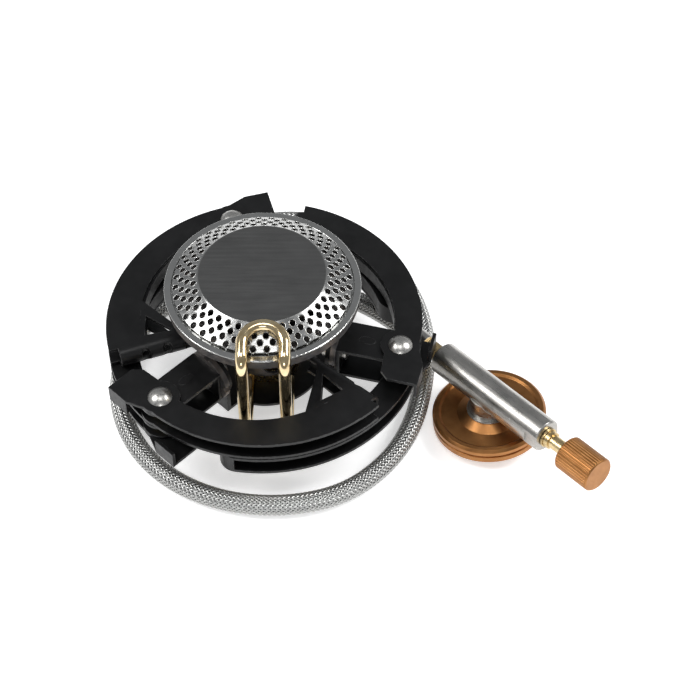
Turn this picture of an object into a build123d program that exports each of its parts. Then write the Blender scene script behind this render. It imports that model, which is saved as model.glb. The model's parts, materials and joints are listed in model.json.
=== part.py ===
from build123d import *
import os
from math import cos, pi, radians, sin, tan

os.makedirs("parts", exist_ok=True)

# A folding remote canister stove, stowed: three pairs of arms lie folded round the burner as a
# two-storey ring, and the hose is wound once and a half round that ring.  All lengths are in
# millimetres.  The origin is on the burner's axis, at the surface that it stands on.

# The folded ring
UNIT_AZIMUTHS = (105.5, 225.5, 345.5)
RIVET_RADIUS = 50.0
MID_HEIGHT = 25.75
LAYER_GAP = 0.25
ARM_HEIGHT = 8.0
STEEL = 1.2
ARM_OUTER = 56.5
ARM_INNER_START = 47.2
ARM_INNER_END = 43.8
ARM_SPAN = 94.4
FOOT_SPAN = 85.0
FOLD_TIP = 23.5
FOLD_END = 53.0
NOTCH_RADII = (28.0, 36.0, 43.8)
NOTCH_SIZE = 1.7
PIVOT_LOBE = 7.0
STOP_OFFSET = 8.6
STOP_NEAR = 7.0
STOP_FAR = 16.0

# The clevis brackets and their twist pivots
CLEVIS_HALF_WIDTH = 7.0
CLEVIS_REACH = 6.95
CLEVIS_BACK = 28.2
LUG_INNER = 24.4
LUG_WIDTH = 17.0
TWIST_DISC = 9.5
TWIST_PIN = 2.45
RIVET_SHANK = 2.5
RIVET_HEAD = 4.35
RUNNING_GAP = 0.05

# The burner head
RIM_RADIUS = 34.6
RIM_TOP = 52.0
RIM_HEIGHT = 5.0
CAP_TOP = 58.0
CAP_FLAT = 22.4
CAP_STEP = 31.4
CAP_SHEET = 0.8
PORT_ROWS = (24.2, 26.3, 28.4, 30.4)
PORTS_PER_ROW = 40
PORT_SIZE = 1.05

# The burner's body and base
TUBE_RADIUS = 12.4
TUBE_WALL = 1.2
TUBE_FOOT = 15.4
AIR_HOLE = 3.75
AIR_HOLE_HEIGHT = 20.6
PLATE_BOTTOM = 9.4
PLATE_RADIUS = 21.0
BOLT_HEAD = 10.0
BOLT_SHANK = 6.0
PREHEAT_RADIUS = 2.15
PREHEAT_X = (-6.0, 8.5)
PREHEAT_Y = -38.6
PREHEAT_LOW = 12.9

# The hose
HOSE_RADIUS = 3.7
INLET_HEIGHT = 5.2
INLET_AZIMUTH = 135.0
FERRULE_RADIUS = 4.0

# The valve: its tube points down towards the ring, and its collar rests on one edge
VALVE_X = 80.0
VALVE_Y = -20.9
VALVE_AZIMUTH = -49.5
VALVE_TILT = 7.0
VALVE_TUBE = 6.0
VALVE_REAR = 24.3
VALVE_FRONT = 29.7
VALVE_LENGTH = VALVE_REAR + VALVE_FRONT
COLLAR_RADIUS = 20.5
COLLAR_THICK = 6.0
COLLAR_DROP = 15.2
THREAD_RADIUS = 5.3
THREAD_DEPTH = 7.3
SEAL_RADIUS = 4.3
KNOB_RADIUS = 6.4
KNOB_LENGTH = 15.0


def keep(piece, label):
    """Name a finished piece and write it."""
    piece.part.label = label
    export_step(piece.part, f"parts/{label}.step")


def outward(azimuth):
    """Level unit vector that points away from the burner's axis."""
    return Vector(cos(radians(azimuth)), sin(radians(azimuth)), 0)


def polar(radius, angle):
    """Point of a plan, from its radius and angle."""
    return (radius * cos(radians(angle)), radius * sin(radians(angle)))


def arm_plane(azimuth, side, offset):
    """Level plane at an offset above (side 1) or below (side -1) the ring's middle.

    Seen along its own normal, an arm always runs anticlockwise from its rivet.
    """
    height = MID_HEIGHT + side * offset
    return Plane(origin=(0, 0, height), x_dir=outward(azimuth), z_dir=(0, 0, side))


def facing(azimuth, radius, height):
    """Upright plane across the radius at this azimuth, which looks outwards."""
    place = outward(azimuth) * radius + Vector(0, 0, height)
    return Plane(origin=place, x_dir=outward(azimuth + 90), z_dir=outward(azimuth))


# ---------------------------------------------------------------- burner head

with BuildPart() as burner_cap:
    with BuildSketch(Plane.XZ):
        with BuildLine():
            Polyline(
                (0, CAP_TOP),
                (CAP_FLAT, CAP_TOP),
                (CAP_STEP, RIM_TOP + 0.8),
                (CAP_STEP, RIM_TOP - 1.0),
                (RIM_RADIUS - 1.3, RIM_TOP - 1.0),
                (RIM_RADIUS - 1.3, RIM_TOP - 1.0 - CAP_SHEET),
                (CAP_STEP - CAP_SHEET, RIM_TOP - 1.0 - CAP_SHEET),
                (CAP_STEP - CAP_SHEET, RIM_TOP + 0.3),
                (CAP_FLAT - 0.2, CAP_TOP - CAP_SHEET),
                (0, CAP_TOP - CAP_SHEET),
                close=True,
            )
        make_face()
    revolve(axis=Axis.Z)
    for row, row_radius in enumerate(PORT_ROWS):
        half_step = 180 / PORTS_PER_ROW * (row % 2)
        with BuildSketch(Plane.XY.offset(RIM_TOP - 1.5)):
            with PolarLocations(row_radius, PORTS_PER_ROW, start_angle=half_step):
                Circle(PORT_SIZE)
        extrude(amount=CAP_TOP, mode=Mode.SUBTRACT)
keep(burner_cap, "burner_cap")

with BuildPart() as crimp_ring:
    with BuildSketch(Plane.XZ) as crimp_section:
        with Locations((RIM_RADIUS - 1.3, RIM_TOP - 0.5)):
            Rectangle(2.6, 1.0)
        fillet(crimp_section.vertices(), 0.35)
    revolve(axis=Axis.Z)
keep(crimp_ring, "crimp_ring")

RIM_FOOT = RIM_TOP - RIM_HEIGHT
NECK = TUBE_RADIUS + RUNNING_GAP
with BuildPart() as burner_bowl:
    with BuildSketch(Plane.XZ):
        with BuildLine():
            Polyline(
                (RIM_RADIUS - 0.4, RIM_TOP - 1.0),
                (RIM_RADIUS - 0.4, RIM_FOOT + 0.6),
                (RIM_RADIUS - 1.0, RIM_FOOT),
                (NECK + 0.8, RIM_FOOT - 8.0),
                (NECK + 0.8, RIM_FOOT - 11.0),
                (NECK, RIM_FOOT - 11.0),
                (NECK, RIM_FOOT - 7.3),
                (RIM_RADIUS - 1.5, RIM_FOOT + 0.7),
                (RIM_RADIUS - 1.2, RIM_FOOT + 1.0),
                (RIM_RADIUS - 1.2, RIM_TOP - 1.0),
                close=True,
            )
        make_face()
    revolve(axis=Axis.Z)
keep(burner_bowl, "burner_bowl")

with BuildPart() as flame_spreader:
    with BuildSketch(Plane.XY.offset(RIM_FOOT + 1.4)):
        Circle(RIM_RADIUS - 1.6)
        Circle(6.0, mode=Mode.SUBTRACT)
        with PolarLocations(20.0, 12):
            Circle(2.5, mode=Mode.SUBTRACT)
    extrude(amount=0.8)
keep(flame_spreader, "flame_spreader")

# ---------------------------------------------------------------- burner body and base

with BuildPart() as mixing_tube:
    with BuildSketch(Plane.XY.offset(TUBE_FOOT)):
        Circle(TUBE_RADIUS)
        Circle(TUBE_RADIUS - TUBE_WALL, mode=Mode.SUBTRACT)
    extrude(amount=RIM_FOOT - 7.5 - TUBE_FOOT)
    for azimuth in (15, 105, 195, 285):
        with BuildSketch(facing(azimuth, 5.0, AIR_HOLE_HEIGHT)):
            Circle(AIR_HOLE)
        extrude(amount=TUBE_RADIUS, mode=Mode.SUBTRACT)
    foot_edges = mixing_tube.edges().filter_by(GeomType.CIRCLE).group_by(Axis.Z)[0]
    chamfer(foot_edges.sort_by(SortBy.RADIUS)[-1], 0.5)
keep(mixing_tube, "mixing_tube")

PLATE_TOP = PLATE_BOTTOM + STEEL
TUBE_BUTT = -11.0
with BuildPart() as jet_block:
    with BuildSketch(Plane.XY.offset(PLATE_TOP)):
        Circle(TUBE_RADIUS)
        Circle(4.05, mode=Mode.SUBTRACT)
        with Locations((0, TUBE_BUTT)):
            Rectangle(40, 10, align=(Align.CENTER, Align.MAX), mode=Mode.SUBTRACT)
    extrude(amount=TUBE_FOOT - PLATE_TOP)
keep(jet_block, "jet_block")

with BuildPart() as gas_jet:
    with BuildSketch(Plane.XY.offset(TUBE_FOOT)):
        RegularPolygon(3.6, 6)
    extrude(amount=3.0)
    with BuildSketch(Plane.XY.offset(TUBE_FOOT + 3.0)):
        Circle(2.2)
    extrude(amount=2.4, taper=20)
    Hole(0.4)
keep(gas_jet, "gas_jet")

with BuildPart() as banjo_bolt:
    with BuildSketch(Plane.XY):
        Circle(BOLT_HEAD)
    extrude(amount=1.8)
    chamfer(banjo_bolt.faces().sort_by(Axis.Z)[-1].edges(), 0.5)
    with BuildSketch(Plane.XY.offset(1.8)):
        Circle(BOLT_SHANK)
    extrude(amount=PLATE_BOTTOM - 1.8)
    with BuildSketch(Plane.XY.offset(PLATE_BOTTOM)):
        Circle(4.0)
    extrude(amount=TUBE_FOOT - PLATE_BOTTOM)
keep(banjo_bolt, "banjo_bolt")

with BuildPart() as copper_washers:
    for height in (1.8, PLATE_BOTTOM - 0.5):
        with BuildSketch(Plane.XY.offset(height)):
            Circle(9.0)
            Circle(BOLT_SHANK + RUNNING_GAP, mode=Mode.SUBTRACT)
        extrude(amount=0.5)
keep(copper_washers, "copper_washers")

with BuildPart() as base_plate:
    with BuildSketch(Plane.XY.offset(PLATE_BOTTOM)):
        Circle(PLATE_RADIUS)
        for azimuth in UNIT_AZIMUTHS:
            with Locations(Location((0, 0, 0), (0, 0, 1), azimuth)):
                Rectangle(LUG_INNER + 1.6, LUG_WIDTH - 3, align=(Align.MIN, Align.CENTER))
        Circle(4.05, mode=Mode.SUBTRACT)
    extrude(amount=STEEL)
    for azimuth in UNIT_AZIMUTHS:
        with BuildSketch(facing(azimuth, LUG_INNER, MID_HEIGHT)):
            Circle(LUG_WIDTH / 2)
            with Locations((0, 0)):
                Rectangle(
                    LUG_WIDTH - 3, MID_HEIGHT - PLATE_BOTTOM, align=(Align.CENTER, Align.MAX)
                )
            Circle(TWIST_PIN + RUNNING_GAP, mode=Mode.SUBTRACT)
        extrude(amount=1.6)
keep(base_plate, "base_plate")

LEFT_LEG, RIGHT_LEG = PREHEAT_X
LOOP_Y = -24.8
LOOP_HEIGHT = 59.6
RIM_CLEARANCE = 55.6
with BuildPart() as preheat_tube:
    with BuildLine():
        FilletPolyline(
            (LEFT_LEG, TUBE_BUTT, PREHEAT_LOW),
            (LEFT_LEG, PREHEAT_Y, PREHEAT_LOW),
            (LEFT_LEG, PREHEAT_Y, RIM_CLEARANCE),
            (LEFT_LEG, LOOP_Y, LOOP_HEIGHT),
            (RIGHT_LEG, LOOP_Y, LOOP_HEIGHT),
            (RIGHT_LEG, PREHEAT_Y, RIM_CLEARANCE),
            (RIGHT_LEG, PREHEAT_Y, PREHEAT_LOW),
            (RIGHT_LEG, TUBE_BUTT, PREHEAT_LOW),
            radius=(5.0, 5.0, 7.2, 7.2, 5.0, 5.0),
        )
    with BuildSketch(Plane.XZ.offset(-TUBE_BUTT)):
        with Locations((LEFT_LEG, PREHEAT_LOW)):
            Circle(PREHEAT_RADIUS)
    sweep(transition=Transition.ROUND)
keep(preheat_tube, "preheat_tube")

# ---------------------------------------------------------------- folding leg units


def pivot_plan(tail_end):
    """Plan of an arm's end at its rivet: a round lobe, and a tail that may carry the stop."""
    with Locations((RIVET_RADIUS, 0)):
        Circle(PIVOT_LOBE)
    if tail_end:
        with BuildLine() as outline:
            Polyline(
                (RIVET_RADIUS - 5, 0),
                (RIVET_RADIUS - 4, -STOP_FAR + 3),
                (RIVET_RADIUS - 1, -STOP_FAR),
                (RIVET_RADIUS + STOP_OFFSET + STEEL, -STOP_FAR),
                (RIVET_RADIUS + STOP_OFFSET + STEEL, -STOP_NEAR),
                (RIVET_RADIUS + 6.4, 1),
                close=True,
            )
        make_face(outline.edges())


def band_plan(span):
    """Plan of an arm's curved band, from the rivet's radius round to the span."""
    with BuildLine() as outline:
        inner = ThreePointArc(
            polar(ARM_INNER_START, 0),
            polar((ARM_INNER_START + ARM_INNER_END) / 2, span / 2),
            polar(ARM_INNER_END, span),
        )
        outer = ThreePointArc(
            polar(ARM_OUTER, 0),
            polar(ARM_OUTER, span / 2),
            polar(ARM_OUTER, span),
        )
        Line(inner @ 0, outer @ 0)
        Line(inner @ 1, outer @ 1)
    make_face(outline.edges())


def web_plan(start, span):
    """Plan of the web, which stands along the band's inner edge."""
    share = start / span
    first = ARM_INNER_START + (ARM_INNER_END - ARM_INNER_START) * share
    middle = (first + ARM_INNER_END) / 2
    with BuildLine() as outline:
        inner = ThreePointArc(
            polar(first + 0.1, start),
            polar(middle + 0.1, (start + span) / 2),
            polar(ARM_INNER_END + 0.1, span),
        )
        outer = ThreePointArc(
            polar(first + STEEL, start),
            polar(middle + STEEL, (start + span) / 2),
            polar(ARM_INNER_END + STEEL, span),
        )
        Line(inner @ 0, outer @ 0)
        Line(inner @ 1, outer @ 1)
    make_face(outline.edges())


def rivet_hole():
    """The arm's hole, which turns on the rivet."""
    with Locations((RIVET_RADIUS, 0)):
        Circle(RIVET_SHANK + RUNNING_GAP, mode=Mode.SUBTRACT)


FOLD_LIFT = ARM_HEIGHT / 2
BLADE_ROOT = 64.0


def support_plan(tail_end):
    """Plan of a pot support's flange: the band, its blade and window, and the pivot end."""
    band_plan(ARM_SPAN)
    with BuildLine() as outline:
        Polyline(
            polar(ARM_INNER_END + 1.5, BLADE_ROOT),
            polar(FOLD_TIP + 6, ARM_SPAN - 9),
            polar(FOLD_TIP, ARM_SPAN - 5),
            polar(FOLD_TIP, ARM_SPAN),
            polar(ARM_INNER_END + 3, ARM_SPAN),
            close=True,
        )
    make_face(outline.edges())
    with BuildLine() as outline:
        Polyline(
            polar(33, ARM_SPAN - 10), polar(43, ARM_SPAN - 9), polar(42.5, ARM_SPAN - 21), close=True
        )
    make_face(outline.edges(), mode=Mode.SUBTRACT)
    with Locations(Location((0, 0, 0), (0, 0, 1), ARM_SPAN)):
        with Locations((FOLD_END / 2, -FOLD_LIFT)):
            Rectangle(80, 12, align=(Align.CENTER, Align.MIN), mode=Mode.SUBTRACT)
    pivot_plan(tail_end)
    rivet_hole()


def make_support(azimuth, label):
    """One pot support: a pressed channel whose two flanges are one sheet, folded at the free end."""
    fold_line = outward(azimuth + ARM_SPAN)
    fold_across = outward(azimuth + ARM_SPAN + 90)
    fold_place = fold_line * FOLD_TIP - fold_across * FOLD_LIFT
    fold_height = Vector(0, 0, MID_HEIGHT + LAYER_GAP + FOLD_LIFT)
    top = LAYER_GAP + ARM_HEIGHT
    with BuildPart() as support:
        with BuildSketch(arm_plane(azimuth, 1, LAYER_GAP)):
            support_plan(tail_end=False)
        extrude(amount=STEEL)
        with BuildSketch(arm_plane(azimuth, 1, top - STEEL)):
            support_plan(tail_end=True)
        extrude(amount=STEEL)
        with BuildSketch(arm_plane(azimuth, 1, LAYER_GAP + STEEL)):
            web_plan(15, BLADE_ROOT)
        extrude(amount=ARM_HEIGHT - 2 * STEEL)
        with BuildSketch(arm_plane(azimuth, 1, LAYER_GAP + 1.0)):
            with Locations((RIVET_RADIUS + STOP_OFFSET, -STOP_NEAR)):
                Rectangle(STEEL, STOP_FAR - STOP_NEAR, align=(Align.MIN, Align.MAX))
        extrude(amount=ARM_HEIGHT - 1.5)
        with BuildSketch(Plane(origin=fold_place + fold_height, x_dir=fold_across, z_dir=fold_line)):
            Circle(FOLD_LIFT)
            Circle(FOLD_LIFT - STEEL, mode=Mode.SUBTRACT)
            Rectangle(10, 10, align=(Align.MAX, Align.CENTER), mode=Mode.SUBTRACT)
        extrude(amount=FOLD_END - FOLD_TIP)
        with BuildSketch(arm_plane(azimuth, 1, 0)):
            for radius in NOTCH_RADII:
                with Locations(polar(radius, ARM_SPAN)):
                    Circle(NOTCH_SIZE, mode=Mode.ADD)
        extrude(amount=2 * ARM_HEIGHT, mode=Mode.SUBTRACT)
    keep(support, label)


def foot_plan(tail_end):
    """Plan of a foot's flange: the band with a round end, and the pivot end."""
    band_plan(FOOT_SPAN)
    with Locations(polar((ARM_OUTER + ARM_INNER_END) / 2, FOOT_SPAN)):
        Circle((ARM_OUTER - ARM_INNER_END) / 2)
    pivot_plan(tail_end)
    rivet_hole()


def make_foot(azimuth, label):
    """One foot: a pressed channel with a closed round end, folded under the pot support before it."""
    end_radius = (ARM_OUTER - ARM_INNER_END) / 2
    with BuildPart() as foot:
        with BuildSketch(arm_plane(azimuth, -1, LAYER_GAP)):
            foot_plan(tail_end=False)
        extrude(amount=STEEL)
        with BuildSketch(arm_plane(azimuth, -1, LAYER_GAP + ARM_HEIGHT - STEEL)):
            foot_plan(tail_end=True)
        extrude(amount=STEEL)
        with BuildSketch(arm_plane(azimuth, -1, LAYER_GAP + STEEL)):
            end_place = (*polar(ARM_OUTER - end_radius, FOOT_SPAN), 0)
            with Locations(Location(end_place, (0, 0, 1), FOOT_SPAN)):
                Circle(end_radius)
                Circle(end_radius - STEEL, mode=Mode.SUBTRACT)
                Rectangle(20, 20, align=(Align.CENTER, Align.MAX), mode=Mode.SUBTRACT)
            web_plan(15, FOOT_SPAN)
        extrude(amount=ARM_HEIGHT - 2 * STEEL)
        with BuildSketch(arm_plane(azimuth, -1, LAYER_GAP + 1.0)):
            with Locations((RIVET_RADIUS + STOP_OFFSET, -STOP_NEAR)):
                Rectangle(STEEL, STOP_FAR - STOP_NEAR, align=(Align.MIN, Align.MAX))
        extrude(amount=ARM_HEIGHT - 1.5)
    keep(foot, label)


def make_bracket(azimuth, label):
    """One clevis: a strip bent to a U whose two plates hold the rivet."""
    with BuildPart() as bracket:
        for side in (1, -1):
            with BuildSketch(arm_plane(azimuth, side, CLEVIS_REACH - STEEL)):
                with Locations((CLEVIS_BACK, 0)):
                    Rectangle(
                        RIVET_RADIUS - CLEVIS_BACK,
                        2 * CLEVIS_HALF_WIDTH,
                        align=(Align.MIN, Align.CENTER),
                    )
                with Locations((RIVET_RADIUS, 0)):
                    Circle(CLEVIS_HALF_WIDTH)
                    Circle(RIVET_SHANK + 0.02, mode=Mode.SUBTRACT)
            extrude(amount=STEEL)
        with BuildSketch(facing(azimuth, CLEVIS_BACK, MID_HEIGHT)):
            Rectangle(2 * CLEVIS_HALF_WIDTH, 2 * CLEVIS_REACH)
            Circle(TWIST_PIN + 0.02, mode=Mode.SUBTRACT)
        extrude(amount=STEEL)
        for side in (1, -1):
            with BuildSketch(arm_plane(azimuth, side, CLEVIS_REACH - STEEL)):
                with Locations((RIVET_RADIUS - 12, 0)):
                    Ellipse(3.0, 1.6)
            extrude(amount=STEEL + 0.05)
    keep(bracket, label)


def make_twist_disc(azimuth, label):
    """The detent disc between a clevis and its lug."""
    with BuildPart() as twist_disc:
        with BuildSketch(facing(azimuth, CLEVIS_BACK - 2.0, MID_HEIGHT)):
            Circle(TWIST_DISC)
            Circle(TWIST_PIN + 0.02, mode=Mode.SUBTRACT)
            with PolarLocations(TWIST_DISC, 4):
                Circle(1.2, mode=Mode.SUBTRACT)
        extrude(amount=2.0)
    keep(twist_disc, label)


def make_twist_pin(azimuth, label):
    """The riveted pin that a clevis twists on."""
    with BuildPart() as twist_pin:
        with BuildSketch(facing(azimuth, LUG_INNER - 3.0, MID_HEIGHT)):
            Circle(4.0)
        extrude(amount=2.8)
        chamfer(twist_pin.edges().group_by(SortBy.LENGTH)[-1][0], 0.8)
        with BuildSketch(facing(azimuth, LUG_INNER - 0.2, MID_HEIGHT)):
            Circle(TWIST_PIN)
        extrude(amount=CLEVIS_BACK + STEEL - LUG_INNER + 0.2)
        with BuildSketch(facing(azimuth, CLEVIS_BACK + STEEL, MID_HEIGHT)):
            Circle(3.8)
        extrude(amount=1.6)
    keep(twist_pin, label)


def make_rivet(azimuth, label):
    """The rivet through both arms and both clevis plates, with domed heads."""
    reach = LAYER_GAP + ARM_HEIGHT + RUNNING_GAP
    dome = 2.2
    ball = (RIVET_HEAD**2 + dome**2) / (2 * dome)
    place = outward(azimuth) * RIVET_RADIUS + Vector(0, 0, MID_HEIGHT)
    with BuildPart() as rivet:
        with BuildSketch(Plane(origin=place, x_dir=outward(azimuth), z_dir=outward(azimuth + 90))):
            with BuildLine():
                crown = ThreePointArc(
                    (0, -(reach + dome)),
                    (ball * sin(radians(22)), -(reach + dome) + ball * (1 - cos(radians(22)))),
                    (RIVET_HEAD, -reach),
                )
                foot_crown = ThreePointArc(
                    (RIVET_HEAD, reach),
                    (ball * sin(radians(22)), reach + dome - ball * (1 - cos(radians(22)))),
                    (0, reach + dome),
                )
                Polyline(
                    crown @ 1, (RIVET_SHANK, -reach), (RIVET_SHANK, reach), foot_crown @ 0
                )
                Line(foot_crown @ 1, crown @ 0)
            make_face()
        revolve(axis=Axis(place, (0, 0, 1)))
    keep(rivet, label)


def make_spacers(azimuth, label):
    """Two brass tubes that hold the arms' inner flanges off the clevis plates."""
    with BuildPart() as spacers:
        for side in (1, -1):
            with BuildSketch(arm_plane(azimuth, side, LAYER_GAP + STEEL + 0.05)):
                with Locations((RIVET_RADIUS, 0)):
                    Circle(4.0)
                    Circle(RIVET_SHANK + 0.02, mode=Mode.SUBTRACT)
            extrude(amount=CLEVIS_REACH - LAYER_GAP - 2 * STEEL - 0.05)
    keep(spacers, label)


for number, unit_azimuth in enumerate(UNIT_AZIMUTHS, start=1):
    make_bracket(unit_azimuth, f"bracket_{number}")
    make_twist_disc(unit_azimuth, f"twist_disc_{number}")
    make_twist_pin(unit_azimuth, f"twist_pin_{number}")
    make_rivet(unit_azimuth, f"rivet_{number}")
    make_spacers(unit_azimuth, f"spacers_{number}")
    make_support(unit_azimuth, f"pot_support_{number}")
    make_foot(unit_azimuth, f"foot_{number}")

# ---------------------------------------------------------------- valve

VALVE_RISE = COLLAR_DROP * cos(radians(VALVE_TILT)) + COLLAR_RADIUS * sin(radians(VALVE_TILT))
VALVE_PLACE = Vector(VALVE_X, VALVE_Y, VALVE_RISE)
LEVEL_AXIS = outward(VALVE_AZIMUTH)
VALVE_AXIS = LEVEL_AXIS * cos(radians(VALVE_TILT)) + Vector(0, 0, sin(radians(VALVE_TILT)))
VALVE_UP = Vector(0, 0, cos(radians(VALVE_TILT))) - LEVEL_AXIS * sin(radians(VALVE_TILT))
FITTING_LENGTH = 8.0
FERRULE_LENGTH = 9.0


def across_valve(distance):
    """Plane across the valve's tube, this far from the collar's axis towards the knob."""
    return Plane(origin=VALVE_PLACE + VALVE_AXIS * distance, x_dir=VALVE_UP, z_dir=VALVE_AXIS)


def along_collar(distance):
    """Plane across the collar's axis, this far above the valve's axis."""
    return Plane(origin=VALVE_PLACE + VALVE_UP * distance, x_dir=VALVE_AXIS, z_dir=VALVE_UP)


COLLAR_SECTION = Plane(
    origin=VALVE_PLACE, x_dir=VALVE_AXIS, z_dir=VALVE_AXIS.cross(VALVE_UP)
)
COLLAR_AXIS = Axis(VALVE_PLACE, VALVE_UP)
SPINDLE_RADIUS = 2.5
SPINDLE_DEPTH = 18.0

with BuildPart() as valve_body:
    with BuildSketch(across_valve(-VALVE_REAR)):
        Circle(VALVE_TUBE)
    extrude(amount=VALVE_LENGTH)
    chamfer(valve_body.edges().filter_by(GeomType.CIRCLE), 0.5)
    with BuildSketch(across_valve(VALVE_FRONT - 5.5)):
        Circle(VALVE_TUBE + 1)
        Rectangle(2 * VALVE_TUBE + 4, 10.4, mode=Mode.SUBTRACT)
    extrude(amount=6.0, mode=Mode.SUBTRACT)
    with BuildSketch(across_valve(VALVE_FRONT - SPINDLE_DEPTH)):
        Circle(SPINDLE_RADIUS + RUNNING_GAP)
    extrude(amount=SPINDLE_DEPTH + 1, mode=Mode.SUBTRACT)
keep(valve_body, "valve_body")

with BuildPart() as spindle:
    with BuildSketch(across_valve(VALVE_FRONT - SPINDLE_DEPTH + 1.5)):
        Circle(SPINDLE_RADIUS)
    extrude(amount=SPINDLE_DEPTH + 8.5)
    chamfer(spindle.faces().sort_by(Axis(VALVE_PLACE, VALVE_AXIS))[0].edges(), 1.6)
    with BuildSketch(across_valve(VALVE_FRONT + 1.2)):
        Circle(SPINDLE_RADIUS + 0.7)
    extrude(amount=1.8)
keep(spindle, "spindle")

RIBS = 40
KNOB_START = VALVE_FRONT + 10.0
with BuildPart() as knob:
    with BuildSketch(across_valve(KNOB_START)):
        Circle(KNOB_RADIUS)
    extrude(amount=KNOB_LENGTH)
    chamfer(knob.edges().filter_by(GeomType.CIRCLE), 0.5)
    with BuildSketch(across_valve(KNOB_START - 1)):
        with PolarLocations(KNOB_RADIUS + 0.12, RIBS):
            Circle(0.32)
    extrude(amount=KNOB_LENGTH + 2, mode=Mode.SUBTRACT)
keep(knob, "knob")

with BuildPart() as gland_ring:
    with BuildSketch(across_valve(VALVE_FRONT + 0.2)):
        Circle(3.6)
        Circle(SPINDLE_RADIUS + RUNNING_GAP, mode=Mode.SUBTRACT)
    extrude(amount=0.9)
keep(gland_ring, "gland_ring")

COLLAR_TOP = COLLAR_THICK - COLLAR_DROP
BOSS_FOOT = 8.0
with BuildPart() as canister_collar:
    with BuildSketch(COLLAR_SECTION):
        with BuildLine():
            Polyline(
                (BOSS_FOOT, -COLLAR_DROP),
                (COLLAR_RADIUS - 0.6, -COLLAR_DROP),
                (COLLAR_RADIUS, -COLLAR_DROP + 0.6),
                (COLLAR_RADIUS, -COLLAR_DROP + 2.6),
                (COLLAR_RADIUS - 0.8, -COLLAR_DROP + 2.9),
                (COLLAR_RADIUS - 0.8, -COLLAR_DROP + 3.3),
                (COLLAR_RADIUS, -COLLAR_DROP + 3.6),
                (COLLAR_RADIUS, COLLAR_TOP - 0.9),
                (COLLAR_RADIUS - 0.9, COLLAR_TOP),
                (COLLAR_RADIUS - 2.4, COLLAR_TOP),
                (COLLAR_RADIUS - 3.2, COLLAR_TOP - 0.7),
                (BOSS_FOOT + 3.5, COLLAR_TOP - 0.9),
                (BOSS_FOOT, COLLAR_TOP + 0.8),
                close=True,
            )
        make_face()
    revolve(axis=COLLAR_AXIS)
keep(canister_collar, "canister_collar")

with BuildPart() as collar_boss:
    with BuildSketch(along_collar(-COLLAR_DROP)):
        Circle(BOSS_FOOT - 0.02)
    extrude(amount=COLLAR_THICK + 1.2)
    with BuildSketch(along_collar(COLLAR_TOP)):
        Circle(BOSS_FOOT - 1.2)
    extrude(amount=-COLLAR_TOP - 1.0)
    with BuildSketch(across_valve(-VALVE_REAR)):
        Circle(VALVE_TUBE + 0.02)
    extrude(amount=VALVE_LENGTH, mode=Mode.SUBTRACT)
    with BuildSketch(along_collar(-COLLAR_DROP)):
        Circle(THREAD_RADIUS)
    extrude(amount=THREAD_DEPTH, mode=Mode.SUBTRACT)
    with BuildSketch(along_collar(-COLLAR_DROP + THREAD_DEPTH)):
        Circle(SEAL_RADIUS + 0.1)
    extrude(amount=1.5, mode=Mode.SUBTRACT)
keep(collar_boss, "collar_boss")

with BuildPart() as inlet_seal:
    with BuildSketch(along_collar(-COLLAR_DROP + THREAD_DEPTH + 0.2)):
        Circle(SEAL_RADIUS)
        Circle(2.4, mode=Mode.SUBTRACT)
    extrude(amount=1.2)
keep(inlet_seal, "inlet_seal")

with BuildPart() as tail_fitting:
    with BuildSketch(across_valve(-VALVE_REAR)):
        RegularPolygon(3.6, 6, rotation=30)
    extrude(amount=-FITTING_LENGTH)
keep(tail_fitting, "tail_fitting")

HOSE_START = VALVE_REAR + FITTING_LENGTH + FERRULE_LENGTH
with BuildPart() as valve_ferrule:
    with BuildSketch(across_valve(-VALVE_REAR - FITTING_LENGTH)):
        Circle(FERRULE_RADIUS)
    extrude(amount=-FERRULE_LENGTH)
keep(valve_ferrule, "valve_ferrule")

# ---------------------------------------------------------------- inlet and hose

INLET_OUT = outward(INLET_AZIMUTH)
INLET_END = 19.0
with BuildPart() as inlet_swivel:
    with BuildSketch(Plane.XY.offset(2.35)):
        Circle(9.8)
        Circle(BOLT_SHANK + RUNNING_GAP, mode=Mode.SUBTRACT)
    extrude(amount=PLATE_BOTTOM - 0.55 - 2.35)
    with BuildSketch(facing(INLET_AZIMUTH, 8.5, INLET_HEIGHT)):
        Circle(2.9)
    extrude(amount=3.0)
keep(inlet_swivel, "inlet_swivel")

with BuildPart() as inlet_ferrule:
    with BuildSketch(facing(INLET_AZIMUTH, 11.5, INLET_HEIGHT)):
        Circle(FERRULE_RADIUS)
    extrude(amount=INLET_END - 11.5)
keep(inlet_ferrule, "inlet_ferrule")

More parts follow.
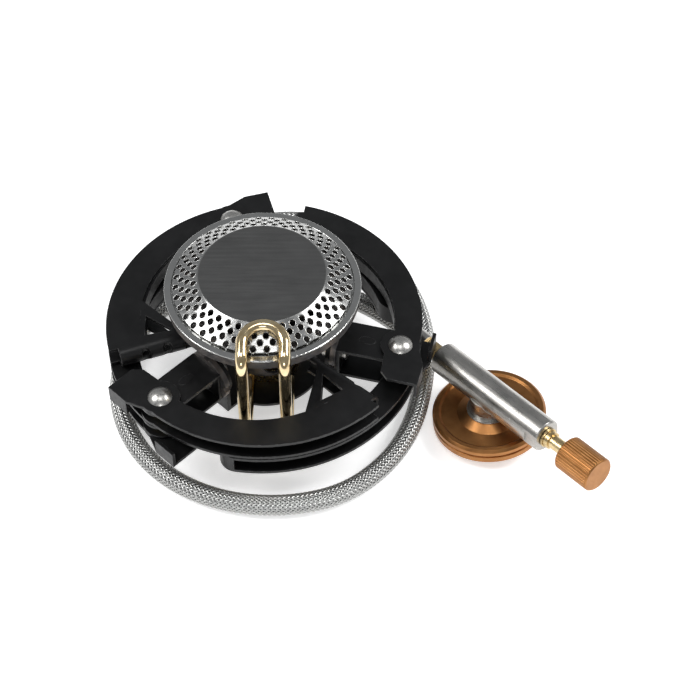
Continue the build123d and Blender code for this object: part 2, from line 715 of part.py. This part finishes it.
tail = VALVE_PLACE - VALVE_AXIS * HOSE_START
lead = tail - VALVE_AXIS * 13
inlet = INLET_OUT * INLET_END + Vector(0, 0, INLET_HEIGHT)
HOSE_ROUTE = [
    (tail.X, tail.Y, tail.Z),
    (lead.X, lead.Y, lead.Z),
    (31.0, 33.0, 6.6),
    (15.5, 43.0, 4.2),
    (-3.0, 47.0, 3.9),
    (-21.5, 44.0, 3.9),
    (-38.0, 34.0, 3.9),
    (-49.5, 18.5, 3.9),
    (-54.5, 0.0, 3.9),
    (-53.0, -19.5, 3.9),
    (-44.5, -38.0, 3.9),
    (-30.5, -51.5, 3.9),
    (-12.0, -59.5, 3.9),
    (8.5, -61.0, 3.9),
    (28.5, -56.0, 3.9),
    (43.8, -43.0, 3.9),
    (53.2, -26.4, 3.9),
    (57.8, -6.2, 3.9),
    (59.3, 14.3, 3.9),
    (55.5, 33.5, 3.9),
    (47.3, 50.2, 3.9),
    (37.6, 64.0, 3.9),
    (23.2, 73.0, 3.9),
    (7.0, 75.8, 3.9),
    (-8.2, 72.6, 4.3),
    (-20.1, 64.3, 7.6),
    (-27.3, 51.7, 11.9),
    (-28.6, 37.3, 11.9),
    (-23.65, 23.65, 7.0),
    (inlet.X, inlet.Y, inlet.Z),
]


def arc_radii(route):
    """Radius of the arc at each inner point: as large as its two runs allow."""
    radii = []
    for before, here, after in zip(route, route[1:], route[2:]):
        first = Vector(*here) - Vector(*before)
        second = Vector(*after) - Vector(*here)
        turn = radians(first.get_angle(second))
        radii.append(0.45 * min(first.length, second.length) / tan(turn / 2))
    return radii


hose_radii = arc_radii(HOSE_ROUTE)
with BuildPart() as hose:
    with BuildLine() as hose_path:
        FilletPolyline(*HOSE_ROUTE, radius=hose_radii)
    with BuildSketch(Plane(origin=tail, x_dir=VALVE_UP, z_dir=-VALVE_AXIS)):
        Circle(HOSE_RADIUS)
    sweep()
keep(hose, "hose")
print("hose arc radii", [round(radius, 1) for radius in hose_radii])
hose_length = sum(edge.length for edge in hose_path.edges())
section_volume = pi * HOSE_RADIUS**2 * hose_length
volume_share = hose.part.volume / section_volume
print("hose length", round(hose_length, 1), "volume share", round(volume_share, 4))
print("valve place", VALVE_PLACE, "axis", VALVE_AXIS, "up", VALVE_UP)
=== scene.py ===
import json
from math import cos, pi, radians, sin

import bpy
import numpy as np
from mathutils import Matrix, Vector


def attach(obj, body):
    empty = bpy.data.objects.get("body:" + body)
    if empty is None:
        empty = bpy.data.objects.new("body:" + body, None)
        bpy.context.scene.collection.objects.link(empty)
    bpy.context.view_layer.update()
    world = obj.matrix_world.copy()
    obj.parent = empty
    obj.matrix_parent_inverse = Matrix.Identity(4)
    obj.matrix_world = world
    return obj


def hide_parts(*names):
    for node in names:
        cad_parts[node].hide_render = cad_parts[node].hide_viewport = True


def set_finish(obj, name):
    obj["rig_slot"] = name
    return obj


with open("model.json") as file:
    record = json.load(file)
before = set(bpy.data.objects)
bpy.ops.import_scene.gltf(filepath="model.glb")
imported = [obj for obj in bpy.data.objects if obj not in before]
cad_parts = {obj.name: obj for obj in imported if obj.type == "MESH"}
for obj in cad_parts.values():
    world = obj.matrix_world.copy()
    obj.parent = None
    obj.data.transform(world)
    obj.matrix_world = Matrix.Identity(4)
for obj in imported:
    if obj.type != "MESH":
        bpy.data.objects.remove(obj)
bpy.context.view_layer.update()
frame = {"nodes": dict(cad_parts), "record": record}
nodes = frame["nodes"]
record = frame["record"]
scene = bpy.context.scene

# ---------------------------------------------------------------- camera

ELEVATION = radians(51)
AIM = Vector((0.0306, -0.0090, 0.0267))
DISTANCE = 0.679
SENSOR_WIDTH = 36
FOCAL_LENGTH = 97.7
FORWARD = Vector((0, cos(ELEVATION), -sin(ELEVATION)))
camera_data = bpy.data.cameras.new("camera")
camera_data.sensor_width = SENSOR_WIDTH
camera_data.lens = FOCAL_LENGTH
camera = bpy.data.objects.new("camera", camera_data)
camera.location = AIM - FORWARD * DISTANCE
camera.rotation_euler = (pi / 2 - ELEVATION, 0, 0)
scene.collection.objects.link(camera)
scene.camera = camera

# ---------------------------------------------------------------- hose

CORE_RADIUS = 0.0034

# The centre line, from the valve's ferrule round the folded legs to the inlet under the burner
HOSE_ROUTE = [
    (0.053378, 0.010271, 0.012552),
    (0.044998, 0.020082, 0.010968),
    (0.0310, 0.0330, 0.0066),
    (0.0155, 0.0430, 0.0042),
    (-0.0030, 0.0470, 0.0039),
    (-0.0215, 0.0440, 0.0039),
    (-0.0380, 0.0340, 0.0039),
    (-0.0495, 0.0185, 0.0039),
    (-0.0545, 0.0000, 0.0039),
    (-0.0530, -0.0195, 0.0039),
    (-0.0445, -0.0380, 0.0039),
    (-0.0305, -0.0515, 0.0039),
    (-0.0120, -0.0595, 0.0039),
    (0.0085, -0.0610, 0.0039),
    (0.0285, -0.0560, 0.0039),
    (0.0438, -0.0430, 0.0039),
    (0.0532, -0.0264, 0.0039),
    (0.0578, -0.0062, 0.0039),
    (0.0593, 0.0143, 0.0039),
    (0.0555, 0.0335, 0.0039),
    (0.0473, 0.0502, 0.0039),
    (0.0376, 0.0640, 0.0039),
    (0.0232, 0.0730, 0.0039),
    (0.0070, 0.0758, 0.0039),
    (-0.0082, 0.0726, 0.0043),
    (-0.0201, 0.0643, 0.0076),
    (-0.0273, 0.0517, 0.0119),
    (-0.0286, 0.0373, 0.0119),
    (-0.02365, 0.02365, 0.0070),
    (-0.013435, 0.013435, 0.0052),
]

hose_curve = bpy.data.curves.new("hose_core", "CURVE")
hose_curve.dimensions = "3D"
hose_curve.resolution_u = 24
hose_curve.use_fill_caps = True
spline = hose_curve.splines.new("NURBS")
spline.points.add(len(HOSE_ROUTE) - 1)
for point, place in zip(spline.points, HOSE_ROUTE):
    point.co = (*place, 1)
    point.radius = CORE_RADIUS  # a bevel_depth of 1 metre is multiplied by this
spline.order_u = 3
spline.use_endpoint_u = True
hose_core = bpy.data.objects.new("hose_core", hose_curve)
scene.collection.objects.link(hose_core)
bpy.context.view_layer.update()

# The curve has no thickness yet, so its mesh is the smooth centre line that the braid follows
line_mesh = bpy.data.meshes.new_from_object(
    hose_core.evaluated_get(bpy.context.evaluated_depsgraph_get())
)
hose_line = np.array([vertex.co for vertex in line_mesh.vertices])
bpy.data.meshes.remove(line_mesh)
hose_curve.bevel_depth = 1
hose_curve.bevel_resolution = 6


def new_piece(name, points, faces):
    """Smooth mesh object from arrays of points and faces."""
    mesh = bpy.data.meshes.new(name)
    mesh.from_pydata(points.tolist(), [], faces.tolist())
    mesh.shade_smooth()
    piece = bpy.data.objects.new(name, mesh)
    scene.collection.objects.link(piece)
    return piece


def strip_faces(rows, columns, start):
    """Quads of a grid of points that is stored row by row."""
    row, column = np.meshgrid(np.arange(rows - 1), np.arange(columns - 1), indexing="ij")
    corner = (start + row * columns + column).ravel()
    return np.stack([corner, corner + 1, corner + columns + 1, corner + columns], axis=1)


def line_frames(line):
    """Distance along a line, and a normal and binormal at each point that don't twist round it."""
    steps = np.linalg.norm(np.diff(line, axis=0), axis=1)
    distance = np.concatenate([[0], np.cumsum(steps)])
    tangents = np.gradient(line, axis=0)
    tangents /= np.linalg.norm(tangents, axis=1)[:, None]
    normal = np.cross(tangents[0], (0, 0, 1))
    normals = []
    for tangent in tangents:
        normal = normal - tangent * normal.dot(tangent)
        normal = normal / np.linalg.norm(normal)
        normals.append(normal)
    normals = np.array(normals)
    return distance, normals, np.cross(tangents, normals)


# The braid: rounded strands wound both ways, each over two and under two
STRANDS = 16
BRAID_RADIUS = 0.00354
BRAID_PITCH = 0.026
BRAID_LIFT = 0.00013
WEAVE_SHARPNESS = 2.5  # how quickly a strand goes from over to under
STRAND_HEIGHT = 0.00006
STRAND_PLACES = np.array([-0.34, -0.20, 0.0, 0.20, 0.34]) * 0.001  # across a strand
STRAND_PROFILE = np.array([-1.6, 0.5, 1, 0.5, -1.6])  # in strand heights
SAMPLES_PER_METRE = 3900

distance, normals, binormals = line_frames(hose_line)
hose_end = distance[-1]
samples = int(hose_end * SAMPLES_PER_METRE)
along = np.linspace(0, hose_end, samples)
turn_rate = 2 * pi / BRAID_PITCH
helix = np.arctan(turn_rate * BRAID_RADIUS)
crossings = along * turn_rate * STRANDS / pi
braid_points, braid_faces = [], []
for side in (1, -1):
    for strand in range(STRANDS):
        phase = (2 * strand + side * crossings + 0.5) * pi / 2
        swing = np.tanh(WEAVE_SHARPNESS * np.sin(phase)) / np.tanh(WEAVE_SHARPNESS)
        lift = side * BRAID_LIFT * swing
        place = along[:, None] - side * STRAND_PLACES[None, :] * sin(helix)
        place = np.clip(place, 0, hose_end)
        angle = 2 * pi * strand / STRANDS + side * turn_rate * along[:, None]
        angle = angle + STRAND_PLACES[None, :] * cos(helix) / BRAID_RADIUS
        radius = BRAID_RADIUS + lift[:, None] + STRAND_HEIGHT * STRAND_PROFILE[None, :]
        grid = np.zeros((*place.shape, 3))
        for axis in range(3):
            centre = np.interp(place, distance, hose_line[:, axis])
            first = np.interp(place, distance, normals[:, axis])
            second = np.interp(place, distance, binormals[:, axis])
            grid[..., axis] = centre + radius * (np.cos(angle) * first + np.sin(angle) * second)
        start = len(braid_points) * grid[..., 0].size
        faces = strip_faces(*place.shape, start)
        braid_points.append(grid.reshape(-1, 3))
        braid_faces.append(faces[:, ::-1])
hose_braid = new_piece("hose_braid", np.concatenate(braid_points), np.concatenate(braid_faces))

for piece in (hose_core, hose_braid):
    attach(piece, "hose_set")
    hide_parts("hose")
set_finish(hose_core, "seal_rubber")
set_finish(hose_braid, "hose_braid")

# ---------------------------------------------------------------- rims of the burner's ports

PORT_RADII = (0.0242, 0.0263, 0.0284, 0.0304)
PORTS_PER_ROW = 40
PORT_RADIUS = 0.00105
CAP_TOP = 0.0580
CAP_FLAT_RADIUS = 0.0224
CONE_SLOPE = 5.2 / 9.0  # fall over run, outside the flat
RIM_WIDTH = 0.00026
RIM_HEIGHT = 0.00013
RING_POINTS = 17
SECTION_POINTS = 6

ring_angles = np.linspace(0, 2 * pi, RING_POINTS)
section_angles = np.linspace(0, pi, SECTION_POINTS)
ring, section = np.meshgrid(ring_angles, section_angles, indexing="ij")
reach = PORT_RADIUS + RIM_WIDTH * 0.5 * (1 - np.cos(section))
height = RIM_HEIGHT * np.sin(section)
cone_tilt = np.arctan(CONE_SLOPE)
rim_points, rim_faces = [], []
for row, row_radius in enumerate(PORT_RADII):
    for port in range(PORTS_PER_ROW):
        azimuth = 2 * pi * (port + 0.5 * (row % 2)) / PORTS_PER_ROW
        radial = np.array([cos(azimuth), sin(azimuth), 0.0])
        across = np.array([-sin(azimuth), cos(azimuth), 0.0])
        normal = radial * sin(cone_tilt) + np.array([0, 0, cos(cone_tilt)])
        down = radial - np.array([0, 0, CONE_SLOPE])
        out = reach[..., None] * (
            np.cos(ring)[..., None] * down + np.sin(ring)[..., None] * across
        )
        middle = radial * row_radius
        middle[2] = CAP_TOP - (row_radius - CAP_FLAT_RADIUS) * CONE_SLOPE
        grid = middle + out + height[..., None] * normal
        start = len(rim_points) * ring.size
        rim_faces.append(strip_faces(*ring.shape, start))
        rim_points.append(grid.reshape(-1, 3))
port_rims = new_piece("port_rims", np.concatenate(rim_points), np.concatenate(rim_faces))
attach(port_rims, "burner")
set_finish(port_rims, "cap_steel")

# ---------------------------------------------------------------- thread in the collar's bore

knob_joint = next(joint for joint in record["behaviour"]["joints"] if joint["name"] == "knob_turn")
thread_mount = next(mount for mount in record["mounts"] if mount["name"] == "canister_thread")
VALVE_PLACE = tuple(knob_joint["pos_m"])
VALVE_AXIS = tuple(knob_joint["axis"])
VALVE_UP = tuple(-part for part in thread_mount["axis"])
THREAD_WALL = thread_mount["dims"]["r_mm"] / 1000
THREAD_HEIGHT = 0.0004
THREAD_PITCH = 0.00095
THREAD_HALF_WIDTH = 0.45  # in pitches
THREAD_START = 0.0007
THREAD_TURNS = 6
SAMPLES_PER_TURN = 32

valve_up = np.array(VALVE_UP)
valve_axis = np.array(VALVE_AXIS)
mouth = np.array(thread_mount["pos_m"])
turns = np.linspace(0, THREAD_TURNS, THREAD_TURNS * SAMPLES_PER_TURN + 1)[:, None]
thread_radii = THREAD_WALL - np.array([0, THREAD_HEIGHT, 0])
thread_section = np.array([-THREAD_HALF_WIDTH, 0, THREAD_HALF_WIDTH])
thread_heights = THREAD_START + THREAD_PITCH * (turns + thread_section)
spoke = (
    np.cos(2 * pi * turns) * valve_axis + np.sin(2 * pi * turns) * np.cross(valve_up, valve_axis)
)
thread_grid = (
    mouth
    + spoke[:, None, :] * thread_radii[None, :, None]
    + thread_heights[..., None] * valve_up
)
collar_thread = new_piece(
    "collar_thread", thread_grid.reshape(-1, 3), strip_faces(len(turns), 3, 0)
)
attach(collar_thread, "hose_set")
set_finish(collar_thread, "valve_alloy")

# ---------------------------------------------------------------- materials

BURNER_UP = (0, 0, 1)


class Surface:
    """A Principled material in the making, whose textures are in object space, in metres."""

    def __init__(self, name, metallic, roughness, color):
        self.material = bpy.data.materials.new(name)
        self.material.use_nodes = True
        self.tree = self.material.node_tree
        self.shader = self.tree.nodes["Principled BSDF"]
        self.coords = self.add("ShaderNodeTexCoord").outputs["Object"]
        self.shader.inputs["Metallic"].default_value = metallic
        self.shader.inputs["Roughness"].default_value = roughness
        self.shader.inputs["Base Color"].default_value = (*color, 1)

    def add(self, kind, **settings):
        node = self.tree.nodes.new(kind)
        for key, value in settings.items():
            setattr(node, key, value)
        return node

    def join(self, value, socket):
        if isinstance(value, bpy.types.NodeSocket):
            self.tree.links.new(value, socket)
        else:
            socket.default_value = value

    def maths(self, operation, first, second=0.0):
        node = self.add("ShaderNodeMath", operation=operation)
        self.join(first, node.inputs[0])
        self.join(second, node.inputs[1])
        return node.outputs[0]

    def vector(self, operation, first, second=(0, 0, 0), output="Vector"):
        node = self.add("ShaderNodeVectorMath", operation=operation)
        self.join(first, node.inputs[0])
        self.join(second, node.inputs[1])
        return node.outputs[output]

    def scaled(self, vector, factor):
        node = self.add("ShaderNodeVectorMath", operation="SCALE")
        self.join(vector, node.inputs[0])
        self.join(factor, node.inputs["Scale"])
        return node.outputs[0]

    def noise(self, scale, detail=3.0, lengthways=None, stretch=1.0):
        """Noise, which may be drawn out along a direction."""
        place = self.coords
        if lengthways:
            reach = self.vector("DOT_PRODUCT", self.coords, lengthways, output="Value")
            shift = self.scaled(lengthways, self.maths("MULTIPLY", reach, 1 / stretch - 1))
            place = self.vector("ADD", self.coords, shift)
        node = self.add("ShaderNodeTexNoise")
        self.join(place, node.inputs["Vector"])
        node.inputs["Scale"].default_value = scale
        node.inputs["Detail"].default_value = detail
        return node.outputs[0]

    def ramp(self, value, low, high, to_low=0.0, to_high=1.0):
        node = self.add("ShaderNodeMapRange")
        self.join(value, node.inputs["Value"])
        for key, number in zip(
            ("From Min", "From Max", "To Min", "To Max"), (low, high, to_low, to_high)
        ):
            self.join(number, node.inputs[key])
        return node.outputs[0]

    def blend(self, share, first, second):
        node = self.add("ShaderNodeMix", data_type="RGBA")
        self.join(share, node.inputs[0])
        for value, socket in ((first, node.inputs[6]), (second, node.inputs[7])):
            self.join((*value, 1) if isinstance(value, tuple) else value, socket)
        return node.outputs[2]

    def bump(self, height, strength, depth):
        node = self.add("ShaderNodeBump")
        node.inputs["Strength"].default_value = strength
        node.inputs["Distance"].default_value = depth
        self.join(height, node.inputs["Height"])
        old = self.shader.inputs["Normal"].links
        if old:
            self.join(old[0].from_socket, node.inputs["Normal"])
        self.join(node.outputs[0], self.shader.inputs["Normal"])

    def soften(self, radius):
        """Rounds the edges' shading, and returns a mask that is 1 on them."""
        bevel = self.add("ShaderNodeBevel", samples=6)
        bevel.inputs["Radius"].default_value = radius
        self.join(bevel.outputs[0], self.shader.inputs["Normal"])
        normal = self.add("ShaderNodeNewGeometry").outputs["Normal"]
        alike = self.vector("DOT_PRODUCT", bevel.outputs[0], normal, output="Value")
        return self.ramp(alike, 0.995, 0.90)

    def color(self, value):
        self.join(value, self.shader.inputs["Base Color"])

    def roughness(self, value):
        self.join(value, self.shader.inputs["Roughness"])

    def mottle(self, scale, detail, to_low=0.0, to_high=1.0):
        """Noise spread over its whole range."""
        return self.ramp(self.noise(scale, detail), 0.3, 0.7, to_low, to_high)

    def patches(self, scale, detail):
        """Noise whose low values are cut off, so that it comes in patches."""
        return self.ramp(self.noise(scale, detail), 0.35, 0.7)

    def ring_radius(self, centre, axis):
        """Distance from an axis, for marks that run round it."""
        offset = self.vector("SUBTRACT", self.coords, centre)
        height = self.vector("DOT_PRODUCT", offset, axis, output="Value")
        rise = self.scaled(axis, height)
        return self.vector("LENGTH", self.vector("SUBTRACT", offset, rise), output="Value")

    def turning_marks(self, radius, pitch, strength):
        """Fine rings, as a lathe leaves them."""
        rings = self.maths("SINE", self.maths("MULTIPLY", radius, 2 * pi / pitch))
        self.bump(rings, strength, 0.00003)


def cap_steel():
    """Stainless dome, polished round a matt brushed flat."""
    surface = Surface("cap_steel", 1.0, 0.2, (0.72, 0.72, 0.71))
    surface.soften(0.0002)
    radius = surface.ring_radius((0, 0, 0), BURNER_UP)
    flat = surface.ramp(radius, CAP_FLAT_RADIUS + 0.0003, CAP_FLAT_RADIUS - 0.0003)
    brushing = surface.noise(900, 4, lengthways=(1, 0, 0), stretch=16)
    cloud = surface.noise(120, 4)
    matt = surface.blend(cloud, (0.13, 0.13, 0.128), (0.18, 0.18, 0.177))
    shine = surface.blend(cloud, (0.40, 0.40, 0.39), (0.52, 0.52, 0.508))
    surface.color(surface.blend(flat, shine, matt))
    gloss = surface.mottle(500, 5, 0.13, 0.24)
    dull = surface.ramp(brushing, 0.3, 0.7, 0.38, 0.47)
    mix = surface.add("ShaderNodeMix")
    surface.join(flat, mix.inputs[0])
    surface.join(gloss, mix.inputs[2])
    surface.join(dull, mix.inputs[3])
    surface.roughness(mix.outputs[0])
    surface.turning_marks(radius, 0.00045, 0.06)
    surface.bump(brushing, 0.06, 0.00003)
    return surface.material


def burner_steel():
    """Steel of the burner's body, dull and heat stained."""
    surface = Surface("burner_steel", 0.9, 0.42, (0.16, 0.16, 0.17))
    surface.soften(0.0002)
    stain = surface.patches(180, 5)
    surface.color(surface.blend(stain, (0.12, 0.12, 0.125), (0.24, 0.21, 0.19)))
    surface.roughness(surface.mottle(700, 4, 0.30, 0.52))
    surface.bump(surface.noise(2500, 2), 0.12, 0.00005)
    return surface.material


def black_paint():
    """Satin black paint on the pressed arms, lighter on the edges: partly paint rubbed thin,
    partly a painted highlight.
    """
    surface = Surface("black_paint", 0.0, 0.38, (0.02, 0.02, 0.021))
    edges = surface.soften(0.0003)
    broken = surface.ramp(surface.noise(650, 5), 0.46, 0.62)
    # Broken mask on the edges: where the paint is rubbed thin, and where a painted highlight runs
    # along the rounded edges
    edge_wear_and_highlight = surface.maths("MULTIPLY", edges, broken)
    patches = surface.patches(90, 4)
    paint = surface.blend(patches, (0.0035, 0.0035, 0.0037), (0.007, 0.007, 0.0073))
    # Lighter grey on the edges: partly worn paint, partly a painted highlight standing in for
    # light on the rounded bends
    surface.color(surface.blend(edge_wear_and_highlight, paint, (0.10, 0.10, 0.10)))
    surface.shader.inputs["Specular IOR Level"].default_value = 0.32
    surface.roughness(surface.mottle(420, 4, 0.30, 0.44))
    surface.bump(surface.noise(3200, 2), 0.22, 0.00006)
    return surface.material


def plated_steel():
    """Bright plating on rivets and pins."""
    surface = Surface("plated_steel", 1.0, 0.3, (0.62, 0.61, 0.58))
    surface.soften(0.0002)
    cloud = surface.noise(700, 5)
    surface.color(surface.blend(cloud, (0.42, 0.41, 0.39), (0.58, 0.57, 0.54)))
    surface.roughness(surface.mottle(1500, 4, 0.22, 0.42))
    surface.bump(surface.noise(1500, 3), 0.08, 0.00005)
    return surface.material


def brass(name, low, high, gloss):
    """Brass or copper between two colours; gloss is the range of its roughness."""
    surface = Surface(name, 1.0, 0.3, high)
    surface.soften(0.00015)
    tarnish = surface.patches(260, 5)
    surface.color(surface.blend(tarnish, high, low))
    surface.roughness(surface.mottle(900, 4, *gloss))
    surface.bump(surface.noise(1800, 3), 0.05, 0.00004)
    return surface.material


def braid_wire():
    """Stainless wire of the hose's braid."""
    surface = Surface("hose_braid", 1.0, 0.3, (0.6, 0.6, 0.59))
    cloud = surface.mottle(800, 4)
    surface.color(surface.blend(cloud, (0.40, 0.40, 0.39), (0.52, 0.52, 0.505)))
    surface.roughness(surface.mottle(900, 3, 0.28, 0.38))
    return surface.material


def hose_rubber(name):
    """Black rubber."""
    surface = Surface(name, 0.0, 0.6, (0.012, 0.012, 0.012))
    cloud = surface.noise(600, 4)
    surface.color(surface.blend(cloud, (0.006, 0.006, 0.006), (0.018, 0.018, 0.018)))
    surface.roughness(surface.ramp(cloud, 0.3, 0.7, 0.5, 0.75))
    surface.bump(surface.noise(2500, 2), 0.2, 0.00005)
    return surface.material


def worn_nickel(name):
    """Nickel plate, drawn lengthways along the valve and speckled."""
    surface = Surface(name, 1.0, 0.3, (0.4, 0.39, 0.36))
    surface.soften(0.0003)
    drawn = surface.noise(1500, 3, lengthways=VALVE_AXIS, stretch=14)
    grain = surface.noise(1700, 4)
    cloud = surface.mottle(160, 4)
    base = surface.blend(cloud, (0.36, 0.35, 0.33), (0.47, 0.455, 0.43))
    speckle = surface.ramp(surface.noise(1300, 4), 0.66, 0.74)
    surface.color(surface.blend(speckle, base, (0.72, 0.71, 0.68)))
    surface.roughness(surface.ramp(drawn, 0.3, 0.7, 0.24, 0.38))
    surface.bump(drawn, 0.12, 0.00004)
    surface.bump(grain, 0.22, 0.00004)
    return surface.material


def bronze():
    """Bronze anodised aluminium of the collar and the knob."""
    surface = Surface("bronze_anodised", 1.0, 0.3, (0.5, 0.22, 0.07))
    surface.soften(0.0002)
    cloud = surface.mottle(240, 4)
    surface.color(surface.blend(cloud, (0.31, 0.136, 0.046), (0.40, 0.186, 0.066)))
    surface.roughness(surface.mottle(1500, 3, 0.28, 0.42))
    surface.turning_marks(surface.ring_radius(VALVE_PLACE, VALVE_UP), 0.0004, 0.10)
    surface.bump(surface.noise(3000, 2), 0.15, 0.00004)
    return surface.material


finishes = {
    "cap_steel": cap_steel(),
    "burner_steel": burner_steel(),
    "black_paint": black_paint(),
    "plated_steel": plated_steel(),
    "brass": brass("brass", (0.44, 0.31, 0.14), (0.72, 0.57, 0.32), (0.20, 0.38)),
    "tube_brass": brass("tube_brass", (0.58, 0.43, 0.22), (0.80, 0.66, 0.42), (0.07, 0.16)),
    "copper": brass("copper", (0.45, 0.20, 0.12), (0.72, 0.38, 0.25), (0.25, 0.45)),
    "hose_braid": braid_wire(),
    "ferrule_steel": worn_nickel("ferrule_steel"),
    "valve_alloy": worn_nickel("valve_alloy"),
    "bronze_anodised": bronze(),
    "seal_rubber": hose_rubber("seal_rubber"),
}
for part in record["subparts"]:
    for place in nodes[part["node"]].material_slots:
        place.material = finishes[part["material_slot"]]
for piece in (hose_core, hose_braid, port_rims, collar_thread):
    piece.data.materials.append(finishes[piece["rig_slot"]])

# ---------------------------------------------------------------- floor and light

FLOOR_HALF = 3.0
FLOOR_DROP = 0.0001  # keeps it off the plane that the stove stands on
FLOOR_GREY = 0.9
FLOOR_GLOW = 0.5  # lifts the shadows to a plain pale ground
LIGHT_AIM = Vector((0.02, 0, 0.03))
SKY_COLOR = (0.9, 0.92, 0.95, 1)
SKY_STRENGTH = 0.34

floor_mesh = bpy.data.meshes.new("floor")
floor_mesh.from_pydata(
    [(x, y, 0) for x, y in ((-1, -1), (1, -1), (1, 1), (-1, 1))], [], [(0, 1, 2, 3)]
)
floor = bpy.data.objects.new("floor", floor_mesh)
floor.scale = (FLOOR_HALF, FLOOR_HALF, 1)
floor.location.z = -FLOOR_DROP
scene.collection.objects.link(floor)
paper = bpy.data.materials.new("floor")
paper.use_nodes = True
paper_inputs = paper.node_tree.nodes["Principled BSDF"].inputs
paper_inputs["Base Color"].default_value = (FLOOR_GREY, FLOOR_GREY, FLOOR_GREY, 1)
paper_inputs["Roughness"].default_value = 0.9
paper_inputs["Emission Color"].default_value = (1, 1, 1, 1)
paper_inputs["Emission Strength"].default_value = FLOOR_GLOW
floor_mesh.materials.append(paper)


def softbox(name, place, size, power):
    """Area light that looks at the stove."""
    light = bpy.data.lights.new(name, "AREA")
    light.shape = "RECTANGLE"
    light.size, light.size_y = size
    light.energy = power
    lamp = bpy.data.objects.new(name, light)
    lamp.location = place
    towards = LIGHT_AIM - lamp.location
    lamp.rotation_euler = towards.to_track_quat("-Z", "Y").to_euler()
    scene.collection.objects.link(lamp)


softbox("left", (-0.65, -0.05, 0.80), (0.35, 0.45), 5.5)
softbox("right", (0.72, 0.10, 0.70), (0.35, 0.45), 5.5)
softbox("top", (0.0, -0.25, 1.1), (0.4, 0.3), 2.0)
softbox("front", (0.0, -0.95, 0.5), (0.4, 0.2), 1.2)
world = bpy.data.worlds.new("world")
scene.world = world
world.use_nodes = True
background = world.node_tree.nodes["Background"]
background.inputs["Color"].default_value = SKY_COLOR
background.inputs["Strength"].default_value = SKY_STRENGTH
scene.view_settings.view_transform = "Standard"

bpy.context.view_layer.update()
